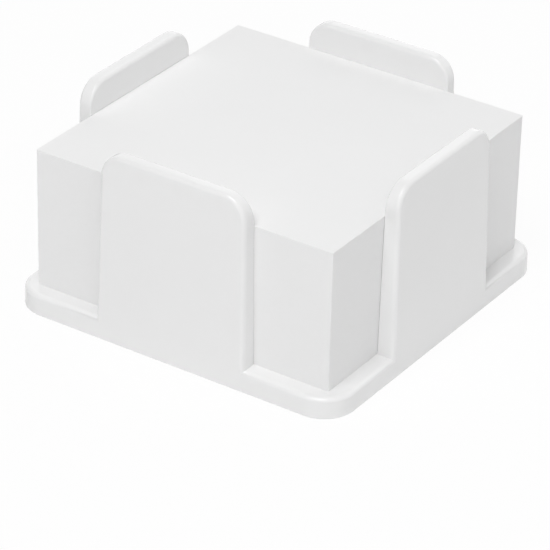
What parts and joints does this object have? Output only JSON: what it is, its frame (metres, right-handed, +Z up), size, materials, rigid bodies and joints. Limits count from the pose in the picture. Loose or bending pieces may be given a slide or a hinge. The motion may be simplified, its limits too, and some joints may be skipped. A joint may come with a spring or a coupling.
{
  "type": "note box",
  "caption": "Square white moulded note box: a base plate with four upright round-cornered walls that hold a pile of loose square note sheets open at the corners.",
  "frame": {"origin": "centre of the holder's flat underside, on the surface that the box stands on", "axes": "+Z up, front wall towards -Y, right wall towards +X"},
  "size_m": [0.1012, 0.1012, 0.0542],
  "materials": {
    "white_plastic": "gloss",
    "note_paper": "uncoated"
  },
  "bodies": {
    "holder": {"holder": "white_plastic"},
    "pile": {"note_pile": "note_paper"},
    "sheet_1": {"note_sheet_1": "note_paper"},
    "sheet_2": {"note_sheet_2": "note_paper"},
    "sheet_3": {"note_sheet_3": "note_paper"},
    "sheet_4": {"note_sheet_4": "note_paper"},
    "sheet_5": {"note_sheet_5": "note_paper"},
    "sheet_6": {"note_sheet_6": "note_paper"}
  },
  "joints": [
    {"name": "pile_lift", "type": "slide", "parent": "holder", "child": "pile", "axis": [0, 0, 1], "range_m": [0, 0.055]},
    {"name": "sheet_1_lift", "type": "slide", "parent": "pile", "child": "sheet_1", "axis": [0, 0, 1], "range_m": [0, 0.015]},
    {"name": "sheet_2_lift", "type": "slide", "parent": "sheet_1", "child": "sheet_2", "axis": [0, 0, 1], "range_m": [0, 0.015]},
    {"name": "sheet_3_lift", "type": "slide", "parent": "sheet_2", "child": "sheet_3", "axis": [0, 0, 1], "range_m": [0, 0.015]},
    {"name": "sheet_4_lift", "type": "slide", "parent": "sheet_3", "child": "sheet_4", "axis": [0, 0, 1], "range_m": [0, 0.015]},
    {"name": "sheet_5_lift", "type": "slide", "parent": "sheet_4", "child": "sheet_5", "axis": [0, 0, 1], "range_m": [0, 0.015]},
    {"name": "sheet_6_lift", "type": "slide", "parent": "sheet_5", "child": "sheet_6", "axis": [0, 0, 1], "range_m": [0, 0.015]}
  ]
}
